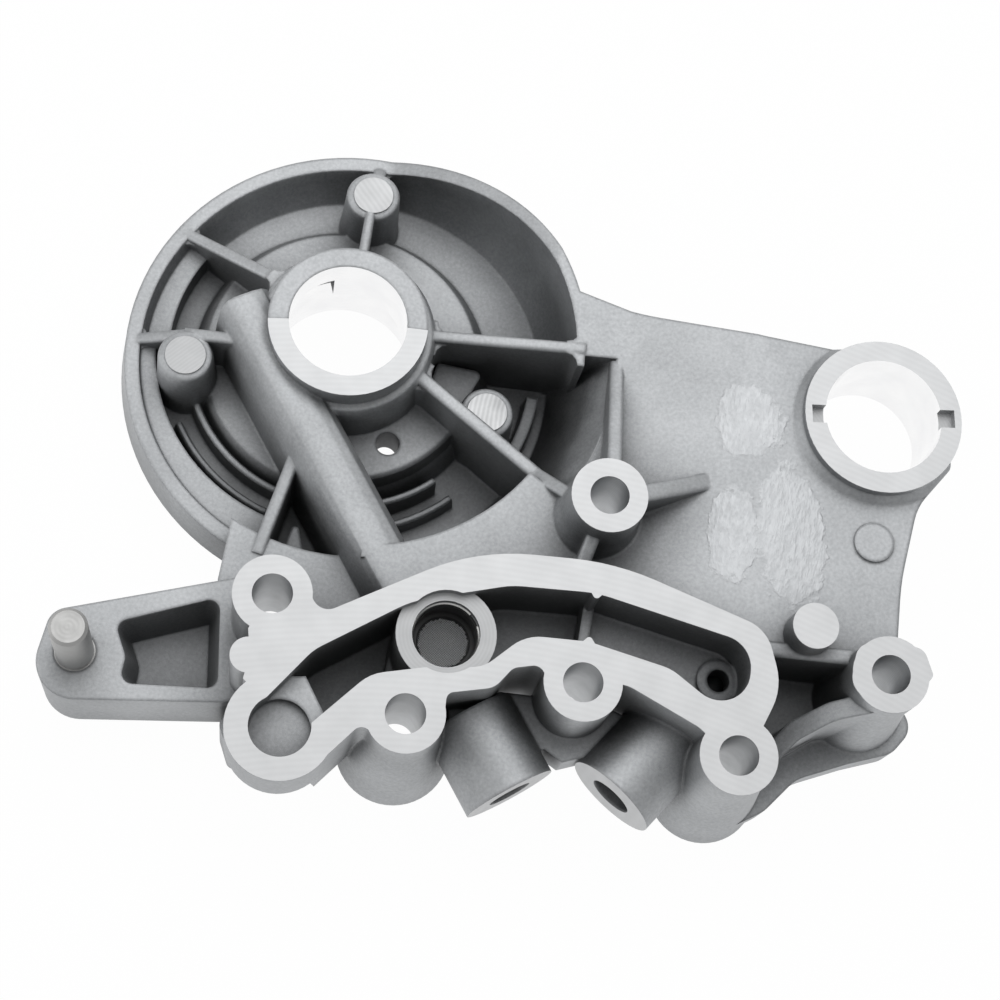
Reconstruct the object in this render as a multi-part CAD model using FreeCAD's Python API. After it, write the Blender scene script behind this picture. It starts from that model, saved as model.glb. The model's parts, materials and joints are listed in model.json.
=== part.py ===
import FreeCAD, Part
import math
import os

# A camshaft bearing bridge is an aluminium pressure die casting that bolts to the timing end of a
# cylinder head. It carries the ends of two camshafts in two bored rings, feeds them oil through
# a gallery and two long drillings, and holds the pin of a chain rail on an arm at its side.
# The origin is on the intake bore axis, on the milled face of its ring. X points to the exhaust
# bore and Z points to the cylinder head. All sizes are in millimetres.

Vector = FreeCAD.Vector

# The two bearings
BORE_SPACING = 127.7
BORE_RADIUS = 14.0
RING_RADIUS = 18.9
INTAKE_FACE_Z = 0.0
INTAKE_BORE_DEPTH = 16.2
EXHAUST_FACE_Z = 9.5
EXHAUST_BORE_DEPTH = 23.0
RAW_FACE_DROP = 0.6
RAW_FACE_START = 5.0
RAW_FACE_SWEEP = 186.0
NOTCH_WIDTH = 4.4
NOTCH_DEPTH = 3.2
NOTCH_TURN = 10.0
BEARING_GROOVE_START = 113.0
BEARING_GROOVE_SWEEP = 112.0
BEARING_GROOVE_DEPTH = 3.0
BEARING_GROOVE_WIDTH = 8.0

# The face against the cylinder head, and the bolts that hold it there
HEAD_FACE_Z = 14.0
BOLT_HOLE_RADIUS = 4.5
BOLT_SEAT_Z = -18.0
BOLT_SEAT_RADIUS = 8.0
PAD_RADIUS = 8.8
BOLTS = {
    "left": (-3.3, -72.8),
    "lower": (30.2, -93.3),
    "middle": (67.2, -78.7),
    "right": (103.7, -88.0),
    "ear": (135.3, -63.0),
    "upper": (66.3, -34.7),
}

# The drum round the intake bearing, a shallow dish that is open towards the head
DRUM_X = 3.2
DRUM_Y = -1.7
DRUM_RADIUS = 55.8
DRUM_DRAFT = 1.2
DRUM_WALL = 3.2
DRUM_BACK_Z = -35.0
DRUM_FLOOR_THICKNESS = 4.0
DRUM_FILLET = 3.2
RIM_Z = -21.5
RIM_RISE_START_X = 2.0
RIM_RISE_END_X = 47.0
HUB_STEP_RADIUS = 34.5
HUB_STEP_HEIGHT = 6.0
HUB_SHOULDER_Z = -6.0
HUB_SHOULDER_RADIUS = 21.3
HUB_BASE_RADIUS = 22.6
HUB_RELIEF_RADIUS = 17.5
PLATFORM_RADIUS = 33.5
PLATFORM_RISE = 6.0

# The three bosses on the drum floor
BOSS_CIRCLE_RADIUS = 38.5
BOSS_ANGLES = (91.0, 199.5, 342.5)
BOSS_RADIUS = 6.6
BOSS_TOP_Z = -10.4
BOSS_LAND_RADIUS = 4.8
BOSS_LAND_HEIGHT = 0.4
TAPPED_CORE_RADIUS = 2.55
TAPPED_DEPTH = 17.0

RIB_THICKNESS = 3.0
RIB_END_FILLET = 3.0
RIDGE_THICKNESS = 2.0
LEDGE_LEFT_RADIUS = 42.6
LEDGE_LEFT_DROP = 3.5
LEDGE_LOWER_RADIUS = 45.6
LEDGE_LOWER_DROP = 1.0
BACK_RECESS_RADIUS = 31.0
BACK_RECESS_INNER_RADIUS = 21.5
BACK_RECESS_DEPTH = 5.0

# The plate between the drum and the exhaust bearing
PLATE_TOP_Z = 5.0
PLATE_LOW_Z = -3.0
PLATE_THICKNESS = 4.6
PLATE_SLOPE_START_X = 66.0
PLATE_SLOPE_END_X = 96.0
SKIRT_DEPTH = 7.0
SKIRT_THICKNESS = 3.2

# The oil gallery
GALLERY_FLOOR_Z = -6.0
GALLERY_FLOOR_THICKNESS = 3.6
GALLERY_LEFT_FLOOR_Z = -11.0
GALLERY_RIGHT_FLOOR_Z = -0.5
GALLERY_LEDGE_Z = 9.4
BLIND_BORE = (4.2, -101.2)
BLIND_BORE_Z = 7.4
BLIND_BORE_RADIUS = 6.8
GALLERY_END_RADIUS = 12.0
GALLERY_END_LOW_Z = -1.5
GALLERY_LOBE = (-5.6, -87.3)
GALLERY_LOBE_RADIUS = 4.0
CROSS_WALL_X = 67.0
CROSS_WALL_THICKNESS = 2.4
CROSS_WALL_TOP_Z = 3.0
RIGHT_FEED_RADIUS = 2.6
RIGHT_FEED_RING = 5.0

# The strainer in its pocket
STRAINER_X = 35.8
STRAINER_Y = -73.4
POCKET_RADIUS = 9.4
POCKET_SHELF_Z = 11.6
PEDESTAL_RADIUS = 11.2
STRAINER_RADIUS = 7.6
STRAINER_TOP_Z = 9.0
STRAINER_STEP_Z = 4.2
STRAINER_LOW_Z = -2.8
STRAINER_RIM_WALL = 0.7
STRAINER_WALL = 1.8
STRAINER_LIP = 1.0
MESH_RECESS = 0.9
MESH_THICKNESS = 0.5
SNAP_RING_RADIUS = 7.75
SNAP_RING_WIRE = 0.5
SNAP_RING_GAP_ANGLE = 24.0
SNAP_RING_GAP_TURN = 40.0

# The two oil drillings and the bosses that they start in
DRILLING_Z = -7.4
DRILLING_RADIUS = 2.8
PORT_RADIUS = 5.1
PORT_DEPTH = 13.0
PORT_BOSS_RADIUS = 10.8
PORT_BOSS_LENGTH = 20.0
PORT_WEB_TOP_Z = -4.2
PORT_WEB_LOW_Z = -13.6
PORT_LEFT = (57.4, -101.9)
PORT_RIGHT = (80.1, -98.0)
CHANNEL_RADIUS = 5.6
LEFT_DRILLING_OFFSET = 18.4
RIB_CREST_Z = -2.2
RIB_CREST_FALL = 1.0
RIB_END_REACH = 18.0
BALL_CLEARANCE = 0.02

# The arm with the pin of the chain rail
ARM_TOP_Z = -8.0
ARM_THICKNESS = 21.0
ARM_POCKET_DEPTH = 12.5
ARM_POCKET_DRAFT = 2.6
PIN_X = -44.5
PIN_Y = -89.0
PIN_RADIUS = 4.3
PIN_LENGTH = 22.0
PIN_SEAT_DEPTH = 16.0
PIN_ROOT_RADIUS = 4.6
PIN_GROOVE_RADIUS = 3.9
PIN_GROOVE_WIDTH = 0.8
PIN_CHAMFER = 0.7

# Small cast details
STOP_BOSS = (117.0, -55.3)
STOP_BOSS_RADIUS = 5.3
EJECTOR_MARK = (130.0, -30.0)
EJECTOR_RADIUS = 4.7
EJECTOR_HEIGHT = 0.7
DRAIN_HOLE = (14.9, -21.4)
DRAIN_RADIUS = 2.9

# Values that follow from the ones above
EXHAUST = (BORE_SPACING, 0.0)
DRUM_FLOOR_Z = DRUM_BACK_Z + DRUM_FLOOR_THICKNESS
HUB_STEP_Z = DRUM_FLOOR_Z + HUB_STEP_HEIGHT
DRUM_INNER_RADIUS = DRUM_RADIUS - DRUM_WALL
INTAKE_BORE_LOW_Z = INTAKE_FACE_Z - INTAKE_BORE_DEPTH
EXHAUST_BORE_LOW_Z = EXHAUST_FACE_Z - EXHAUST_BORE_DEPTH
ARM_LOW_Z = ARM_TOP_Z - ARM_THICKNESS
GALLERY_LOW_Z = GALLERY_LEFT_FLOOR_Z - GALLERY_FLOOR_THICKNESS
BODY_TOP_Z = PLATE_LOW_Z - 9.0
ABOVE = HEAD_FACE_Z + 10.0
BELOW = DRUM_BACK_Z - 10.0


def at_angle(radius, degrees, centre=(0.0, 0.0)):
    turn = math.radians(degrees)
    return (centre[0] + radius * math.cos(turn), centre[1] + radius * math.sin(turn))


def rounded(corners, z=0.0):
    # A closed outline whose corners are (x, y, radius)
    entries = []
    count = len(corners)
    for index in range(count):
        before = Vector(*corners[index - 1][:2], z)
        here = Vector(*corners[index][:2], z)
        after = Vector(*corners[(index + 1) % count][:2], z)
        radius = corners[index][2]
        back = (before - here).normalize()
        ahead = (after - here).normalize()
        half_corner = back.getAngle(ahead) / 2.0
        if radius <= 0.0 or half_corner > math.radians(89.0):
            entries.append((here, None, here))
            continue
        reach = radius / math.tan(half_corner)
        inward = (back + ahead).normalize()
        middle = here + inward * (radius / math.sin(half_corner) - radius)
        entries.append((here + back * reach, middle, here + ahead * reach))
    edges = []
    for index in range(count):
        first, middle, last = entries[index]
        if middle is not None:
            edges.append(Part.Arc(first, middle, last).toShape())
        following = entries[(index + 1) % count][0]
        if (following - last).Length > 1e-6:
            edges.append(Part.LineSegment(last, following).toShape())
    return Part.Wire(edges)


def prism(corners, low, high):
    face = Part.Face(rounded(corners, low))
    return face.extrude(Vector(0, 0, high - low))


def cylinder(centre, radius, low, high):
    return Part.makeCylinder(radius, high - low, Vector(centre[0], centre[1], low))


def cone(centre, low_radius, high_radius, low, high):
    base = Vector(centre[0], centre[1], low)
    return Part.makeCone(low_radius, high_radius, high - low, base, Vector(0, 0, 1))


def rod(start, end, radius):
    first = Vector(*start)
    along = Vector(*end) - first
    return Part.makeCylinder(radius, along.Length, first, along)


def turned(profile, centre=(0.0, 0.0), start=0.0, sweep=360.0):
    # A section of (radius, z) points turned about a vertical axis
    points = [Vector(radius, 0, z) for radius, z in profile]
    face = Part.Face(Part.makePolygon(points + points[:1]))
    solid = face.revolve(Vector(0, 0, 0), Vector(0, 0, 1), sweep)
    solid.rotate(Vector(0, 0, 0), Vector(0, 0, 1), start)
    solid.translate(Vector(centre[0], centre[1], 0))
    return solid


def ball(radius, centre):
    # A ball turned from a section of short straight steps, which keeps its facets few
    steps = 14
    section = [at_angle(radius, -90.0 + 180.0 * step / steps) for step in range(1, steps)]
    solid = turned([(0, -radius)] + section + [(0, radius)])
    solid.translate(Vector(*centre))
    return solid


def web(start, end, thickness, low, start_top, end_top, crown=0.9):
    # An upright wall between two places, with a sloping top whose edges are rounded
    along = Vector(end[0] - start[0], end[1] - start[1], 0)
    side = Vector(-along.y, along.x, 0).normalize() * thickness
    foot = Vector(start[0], start[1], 0) - side * 0.5
    corners = [foot + Vector(0, 0, low), foot + along + Vector(0, 0, low)]
    corners += [foot + along + Vector(0, 0, end_top), foot + Vector(0, 0, start_top)]
    wall = Part.Face(Part.makePolygon(corners + corners[:1])).extrude(side)
    length = along.Length
    top_edges = []
    for edge in wall.Edges:
        first, last = [vertex.Point for vertex in edge.Vertexes]
        runs_along = abs((last - first).dot(along)) > 0.9 * length * length
        if runs_along and min(first.z, last.z) > low + 1e-6:
            top_edges.append(edge)
    return wall.makeFillet(min(crown, thickness * 0.45), top_edges)


def flared_end(place, toward, thickness, low, high, bury, fillet=RIB_END_FILLET):
    # The hollow corners at both sides of a rib, where it leaves the wall that its end is buried in
    heading = math.atan2(toward[1] - place[1], toward[0] - place[0])
    half = thickness / 2.0
    side = [(0.0, -half - fillet)]
    for degrees in (0.0, 30.0, 60.0, 90.0):
        turn = math.radians(degrees)
        ahead = bury + fillet * (1.0 - math.cos(turn))
        side.append((ahead, -half - fillet * (1.0 - math.sin(turn))))
    plan = side + [(ahead, -aside) for ahead, aside in reversed(side)]
    corners = []
    for ahead, aside in plan:
        x = place[0] + ahead * math.cos(heading) - aside * math.sin(heading)
        y = place[1] + ahead * math.sin(heading) + aside * math.cos(heading)
        corners.append((x, y, 0))
    return prism(corners, low, high)


def joined(shapes):
    whole = shapes[0].multiFuse(shapes[1:])
    return whole.removeSplitter()


def less(shape, tools):
    return shape.cut(tools)


def channel_line(port, bearing, side, offset):
    # The line of an oil drilling, from the middle of its port to where it passes the bearing bore
    gap_x = bearing[0] - port[0]
    gap_y = bearing[1] - port[1]
    distance = math.hypot(gap_x, gap_y)
    heading = math.degrees(math.atan2(gap_y, gap_x) + side * math.asin(offset / distance))
    along = at_angle(1.0, heading)
    reach = math.sqrt(distance ** 2 - offset ** 2)
    return along, reach


def channel_point(port, along, distance, z=DRILLING_Z):
    return (port[0] + along[0] * distance, port[1] + along[1] * distance, z)


LEFT_ALONG, LEFT_REACH = channel_line(PORT_LEFT, (0.0, 0.0), 1.0, LEFT_DRILLING_OFFSET)
RIGHT_ALONG, RIGHT_REACH = channel_line(PORT_RIGHT, EXHAUST, -1.0, BORE_RADIUS - 0.2)

PLATE_OUTLINE = [
    (44.0, 4.0, 0), (50.8, 21.6, 0), (70.0, 18.0, 60), (97.0, 16.0, 60), (121.0, 16.2, 0),
    (138.0, 8.0, 0), (146.2, -8.0, 2), (139.4, -19.0, 14), (137.6, -38.0, 60), (138.6, -57.0, 0),
    (131.0, -60.0, 0), (108.0, -61.0, 0), (98.0, -68.0, 0), (60.0, -64.0, 0), (34.0, -68.0, 0),
    (22.6, -60.0, 0), (13.9, -47.1, 0), (40.0, -24.0, 0),
]
RIBBON_OUTLINE = [
    (-3.3, -68.0, 0), (4.9, -70.0, 0), (6.2, -76.4, 3.6), (39.0, -53.6, 50), (70.0, -50.2, 60),
    (106.0, -58.4, 9), (111.2, -71.0, 14), (107.0, -84.0, 0), (103.7, -90.0, 0), (94.0, -83.5, 6),
    (76.0, -77.0, 8), (67.2, -80.0, 0), (60.4, -82.6, 0), (57.6, -76.6, 2.5), (51.5, -78.6, 3),
    (48.2, -83.8, 5), (38.2, -87.0, 1.8), (38.6, -93.0, 0), (30.2, -95.0, 0), (26.0, -101.0, 0),
    (21.5, -97.0, 2.2), (14.0, -107.4, 0), (4.2, -101.2, 0), (-5.6, -92.6, 0), (-5.2, -87.3, 0),
    (-6.8, -81.6, 0),
]
KIDNEY_OUTLINE = [
    (-1.4, -98.2, 0), (8.0, -83.4, 12), (27.0, -68.2, 25), (48.0, -60.2, 20), (67.0, -58.0, 30),
    (103.4, -62.6, 7), (104.4, -82.0, 7), (86.0, -71.8, 10), (67.0, -69.4, 15),
    (53.0, -70.8, 10), (45.0, -79.8, 8), (33.0, -82.2, 12), (21.0, -86.2, 10), (10.6, -99.5, 0),
]
ARM_OUTLINE = [
    (-51.8, -80.8, 5), (-8.0, -62.8, 0), (-4.0, -68.0, 0), (-4.0, -91.0, 0), (-10.0, -94.0, 3),
    (-53.6, -101.8, 9),
]
ARM_POCKET_OUTLINE = [
    (-37.4, -80.6, 2.5), (-15.4, -70.0, 2.5), (-11.5, -91.0, 2.5), (-33.4, -94.2, 2.5),
    (-33.2, -88.0, 4),
]


def below_plate_top():
    # The room below the top of the plate, which lies lower beside the drum than at its right
    points = [(-90.0, BELOW), (-90.0, PLATE_LOW_Z), (PLATE_SLOPE_START_X, PLATE_LOW_Z)]
    points += [(PLATE_SLOPE_END_X, PLATE_TOP_Z), (200.0, PLATE_TOP_Z), (200.0, BELOW)]
    corners = [Vector(x, -150, z) for x, z in points]
    return Part.Face(Part.makePolygon(corners + corners[:1])).extrude(Vector(0, 250, 0))


def plate():
    room = below_plate_top()
    lower_room = room.copy()
    lower_room.translate(Vector(0, 0, -PLATE_THICKNESS))
    sheet = prism(PLATE_OUTLINE, BELOW, ABOVE).common(room).cut(lower_room)
    outline = Part.Face(rounded(PLATE_OUTLINE))
    inner = outline.makeOffset2D(-SKIRT_THICKNESS)
    band = outline.cut(inner).extrude(Vector(0, 0, ABOVE - BELOW))
    band.translate(Vector(0, 0, BELOW))
    skirt_room = lower_room.copy()
    skirt_room.translate(Vector(0, 0, -SKIRT_DEPTH))
    skirt = band.common(room).cut(skirt_room)
    return [sheet, skirt]


def drum_cup():
    # The outside of the drum, filled, with a rim that climbs to the plate on the right
    foot = DRUM_RADIUS + DRUM_DRAFT
    profile = [(0, DRUM_BACK_Z), (foot - 2.0, DRUM_BACK_Z), (foot, DRUM_BACK_Z + 2.0)]
    profile += [(DRUM_RADIUS, RIM_Z), (DRUM_RADIUS - 0.9, PLATE_LOW_Z), (0, PLATE_LOW_Z)]
    cup = turned(profile, (DRUM_X, DRUM_Y))
    rise = [(-90, RIM_Z), (RIM_RISE_START_X, RIM_Z), (RIM_RISE_END_X, PLATE_LOW_Z)]
    rise += [(90, PLATE_LOW_Z), (90, ABOVE), (-90, ABOVE)]
    upper = [Vector(x, DRUM_Y, z) for x, z in rise]
    upper_cut = Part.Face(Part.makePolygon(upper + upper[:1])).extrude(Vector(0, 90, 0))
    fall = [(-90, RIM_Z), (-17.2, RIM_Z), (-17.2, BODY_TOP_Z)]
    fall += [(14, BODY_TOP_Z), (14, ABOVE), (-90, ABOVE)]
    lower = [Vector(x, DRUM_Y, z) for x, z in fall]
    lower_cut = Part.Face(Part.makePolygon(lower + lower[:1])).extrude(Vector(0, -90, 0))
    return less(cup, [upper_cut, lower_cut])


def drum_cavity():
    inner = DRUM_INNER_RADIUS
    profile = [(0, DRUM_FLOOR_Z), (inner - 2 * DRUM_FILLET + 1.0, DRUM_FLOOR_Z)]
    profile += [(inner - DRUM_FILLET + 0.4, DRUM_FLOOR_Z + 0.9 * DRUM_FILLET)]
    profile += [(inner - 0.3, RIM_Z), (inner - 0.4, PLATE_LOW_Z), (inner - 0.4, ABOVE), (0, ABOVE)]
    return turned(profile, (DRUM_X, DRUM_Y))


def slope_profile(shift):
    # The right lower part of the drum wall leans out in a hollow curve up to the plate
    points = [(DRUM_INNER_RADIUS - 4.0, DRUM_FLOOR_Z), (DRUM_INNER_RADIUS + 0.8, -20.0)]
    points += [(DRUM_INNER_RADIUS + 4.6, -9.5), (DRUM_INNER_RADIUS + 9.5, PLATE_LOW_Z)]
    return [(radius + shift, z - shift * 0.5) for radius, z in points]


def drum_slope_shell():
    top = PLATE_LOW_Z - 0.5
    inside = DRUM_INNER_RADIUS - 12.6
    profile = [(inside, DRUM_BACK_Z)] + slope_profile(4.0)
    profile += [(DRUM_INNER_RADIUS + 13.5, top), (inside, top)]
    return turned(profile, (DRUM_X, DRUM_Y), -34.0, 42.0)


def drum_slope_cavity():
    inside = DRUM_INNER_RADIUS - 12.6
    profile = [(inside, DRUM_FLOOR_Z)] + slope_profile(0.0)
    profile += [(DRUM_INNER_RADIUS + 11.0, ABOVE), (inside, ABOVE)]
    return turned(profile, (DRUM_X, DRUM_Y), -29.0, 36.0)


def hub():
    profile = [(0, DRUM_BACK_Z), (HUB_STEP_RADIUS + 4.0, DRUM_BACK_Z)]
    profile += [(HUB_STEP_RADIUS + 2.2, DRUM_FLOOR_Z), (HUB_STEP_RADIUS, HUB_STEP_Z - 1.0)]
    profile += [(HUB_STEP_RADIUS - 1.0, HUB_STEP_Z), (HUB_BASE_RADIUS, HUB_STEP_Z)]
    profile += [(HUB_SHOULDER_RADIUS, HUB_SHOULDER_Z - 1.5)]
    profile += [(HUB_SHOULDER_RADIUS - 1.0, HUB_SHOULDER_Z), (RING_RADIUS, HUB_SHOULDER_Z)]
    profile += [(RING_RADIUS, INTAKE_FACE_Z), (0, INTAKE_FACE_Z)]
    return turned(profile)


def boss(angle):
    place = at_angle(BOSS_CIRCLE_RADIUS, angle)
    land = BOSS_TOP_Z - BOSS_LAND_HEIGHT
    profile = [(0, DRUM_BACK_Z), (BOSS_RADIUS + 1.4, DRUM_BACK_Z), (BOSS_RADIUS + 0.9, DRUM_FLOOR_Z)]
    profile += [(BOSS_RADIUS, land - 1.2), (BOSS_RADIUS - 0.4, land - 0.4)]
    profile += [(BOSS_RADIUS - 1.2, land), (BOSS_LAND_RADIUS, land)]
    profile += [(BOSS_LAND_RADIUS, BOSS_TOP_Z), (0, BOSS_TOP_Z)]
    return turned(profile, place)


def drum_ribs():
    low = DRUM_FLOOR_Z
    shoulder = HUB_SHOULDER_Z - 1.0
    rim = RIM_Z - 0.6
    wall = DRUM_RADIUS - 1.6
    in_wall = wall - DRUM_INNER_RADIUS
    centre = (DRUM_X, DRUM_Y)
    top_boss = at_angle(BOSS_CIRCLE_RADIUS, BOSS_ANGLES[0])
    left_boss = at_angle(BOSS_CIRCLE_RADIUS, BOSS_ANGLES[1])
    right_boss = at_angle(BOSS_CIRCLE_RADIUS, BOSS_ANGLES[2])
    left_level = left_boss[1] + BOSS_RADIUS - 0.5
    left_end = (DRUM_X - math.sqrt(wall ** 2 - (left_level - DRUM_Y) ** 2), left_level)
    upper_left = (at_angle(18, 150), at_angle(wall, 152, centre))
    right = ((18.0, 3.4), at_angle(wall, 8.8, centre))
    lower_right = ((16.0, -5.4), at_angle(wall, 332.6, centre))
    top_end = at_angle(wall, 94, centre)
    in_hub = HUB_SHOULDER_RADIUS - 18.0
    ribs = [
        web(upper_left[0], upper_left[1], RIB_THICKNESS, low, shoulder, rim),
        web((0.0, 18.0), top_boss, 2.4, low, shoulder, BOSS_TOP_Z - 1.0),
        web(top_boss, top_end, 3.2, low, BOSS_TOP_Z - 1, rim),
        web(right[0], right[1], RIB_THICKNESS, low, shoulder, PLATE_LOW_Z + 0.6),
        web(left_end, (-37.0, left_level), RIB_THICKNESS, low, rim, BOSS_TOP_Z - 1.5),
        web((-38.0, left_level), (-20.0, left_level), RIB_THICKNESS, low, BOSS_TOP_Z - 1.5, shoulder),
        web(lower_right[0], lower_right[1], 3.4, low, shoulder, PLATE_LOW_Z - 2.0),
        web((right_boss[0], right_boss[1]), (right_boss[0] - 4, right_boss[1] - 5), 5, low,
            BOSS_TOP_Z - 1.5, BOSS_TOP_Z - 1.5),
        web((-5.6, -30.0), (-9.7, -57.0), 3.2, low, BODY_TOP_Z + 1.6, BODY_TOP_Z + 0.4),
        flared_end(upper_left[1], upper_left[0], RIB_THICKNESS, low, rim, in_wall),
        flared_end(left_end, (0.0, left_level), RIB_THICKNESS, low, rim, in_wall),
        flared_end(top_end, top_boss, 3.2, low, rim, in_wall),
        flared_end(right[1], right[0], RIB_THICKNESS, low, PLATE_LOW_Z, in_wall),
        flared_end(upper_left[0], upper_left[1], RIB_THICKNESS, low, shoulder - 2.0, in_hub),
        flared_end(right[0], right[1], RIB_THICKNESS, low, shoulder - 1.2, in_hub),
        flared_end(lower_right[0], lower_right[1], 3.4, low, shoulder - 1.2, in_hub + 1.0),
    ]
    return ribs


def drum_ledge(start, sweep, inner_radius, top):
    # A sector of the drum where the floor is raised beside the wall, up to a radius round the bore
    outer = DRUM_INNER_RADIUS + 1.2
    profile = [(outer - 18.0, DRUM_FLOOR_Z - 0.5), (outer, DRUM_FLOOR_Z - 0.5), (outer, top)]
    profile += [(outer - 18.0, top)]
    ring = turned(profile, (DRUM_X, DRUM_Y), start, sweep)
    return ring.cut(cone((0.0, 0.0), inner_radius - 1.0, inner_radius, BELOW, top + 1.0))


def floor_ridges():
    # Low curved steps and ridges on the drum floor, which stiffen it between the ribs
    low = DRUM_FLOOR_Z
    ridges = []
    for from_wall, top, start, sweep, wide in (
        (10.6, low + 4.0, 214.0, 42.0, RIDGE_THICKNESS), (16.2, low + 5.4, 206.0, 50.0, RIDGE_THICKNESS),
        (10.0, low + 5.0, 284.0, 34.0, RIDGE_THICKNESS), (15.2, low + 8.0, 284.0, 32.0, RIDGE_THICKNESS),
    ):
        radius = DRUM_INNER_RADIUS - from_wall
        profile = [(radius, low - 0.5), (radius + wide + 0.6, low - 0.5)]
        profile += [(radius + wide, top - 0.5), (radius + wide - 0.5, top)]
        profile += [(radius + 0.7, top), (radius + 0.3, top - 0.5)]
        ridges.append(turned(profile, (0.0, 0.0), start, sweep))
    inner = DRUM_INNER_RADIUS
    arc = [(inner - 6.8, low - 0.5), (inner - 3.0, low - 0.5), (inner - 3.4, low + 7.0)]
    arc += [(inner - 6.2, low + 7.0)]
    ridges.append(turned(arc, (0.0, 0.0), -19.0, 19.0))
    high = HUB_STEP_Z + PLATFORM_RISE
    platform = [(15.0, low), (PLATFORM_RADIUS + 0.9, low), (PLATFORM_RADIUS, high - 0.8)]
    platform += [(PLATFORM_RADIUS - 0.8, high), (15.0, high)]
    ridges.append(turned(platform, (0.0, 0.0), -100.0, 76.5))
    ridges.append(drum_ledge(152.3, 32.8, LEDGE_LEFT_RADIUS, RIM_Z - LEDGE_LEFT_DROP))
    ridges.append(drum_ledge(185.8, 68.0, LEDGE_LOWER_RADIUS, RIM_Z - LEDGE_LOWER_DROP))
    patch = [(23.0, 1.8, 1.0), (34.4, 1.8, 1.5), (31.0, -8.2, 1.5), (22.0, -5.6, 1.0)]
    ridges.append(prism(patch, HUB_STEP_Z - 0.5, HUB_STEP_Z + 6.0))
    return ridges


def across_channel(distance, aside, z):
    # A place beside the intake drilling: aside is positive towards the arm
    x, y, level = channel_point(PORT_LEFT, LEFT_ALONG, distance, z)
    return Vector(x - LEFT_ALONG[1] * aside, y + LEFT_ALONG[0] * aside, level)


def channel_rib():
    # The broad rib that holds the drilling to the intake bearing: its crest leans to the arm, and
    # it sinks a little on its way from the plate to the shoulder of the hub
    near = 30.0
    far = LEFT_REACH + RIB_END_REACH
    crest = RIB_CREST_Z
    low = DRUM_FLOOR_Z
    section = [(-7.2, low), (-7.0, crest - 7.0), (-6.3, crest - 4.2), (-4.8, crest - 2.0)]
    section += [(-2.2, crest - 0.8), (2.4, crest), (4.2, crest - 0.5), (5.6, crest - 2.2)]
    section += [(7.8, crest - 8.6), (8.5, crest - 12.0), (9.0, low)]
    corners = [across_channel(near, aside, z) for aside, z in section]
    face = Part.Face(Part.makePolygon(corners + corners[:1]))
    ahead = across_channel(far, 0.0, crest - RIB_CREST_FALL) - across_channel(near, 0.0, crest)
    ridge = face.extrude(ahead)
    plan = [(near - 1, -9.0, 0), (far, -9.0, 0), (far, 10.0, 6.0), (near - 1, 10.0, 0)]
    outline = []
    for distance, aside, radius in plan:
        place = across_channel(distance, aside, 0.0)
        outline.append((place.x, place.y, radius))
    return ridge.common(prism(outline, DRUM_FLOOR_Z - 2.0, ABOVE))


def pocket_step():
    # The small raised step at the bottom of the pocket between the channel rib and its side rib
    return prism([(-4.4, -54.5, 0), (1.2, -54.5, 0), (-1.8, -46.6, 0.6), (-3.2, -46.6, 0.6)],
                 DRUM_FLOOR_Z, BODY_TOP_Z - 7.0)


def exhaust_bearing():
    # The ring and the soft collar at its foot, which stays inside the plate's edge
    ring = cylinder(EXHAUST, RING_RADIUS, EXHAUST_BORE_LOW_Z, EXHAUST_FACE_Z)
    collar = cone(EXHAUST, RING_RADIUS + 2.4, RING_RADIUS - 0.2, PLATE_TOP_Z - 0.5, PLATE_TOP_Z + 2.2)
    return ring.fuse(collar.common(prism(PLATE_OUTLINE, BELOW, ABOVE)))


def gallery():
    # The ribbon of metal round the gallery, with a round end and a small lobe at its left
    end = cylinder(BLIND_BORE, GALLERY_END_RADIUS, GALLERY_END_LOW_Z, HEAD_FACE_Z)
    lobe = cylinder(GALLERY_LOBE, GALLERY_LOBE_RADIUS, ARM_LOW_Z, HEAD_FACE_Z)
    return [prism(RIBBON_OUTLINE, GALLERY_LOW_Z, HEAD_FACE_Z), end, lobe]


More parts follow.
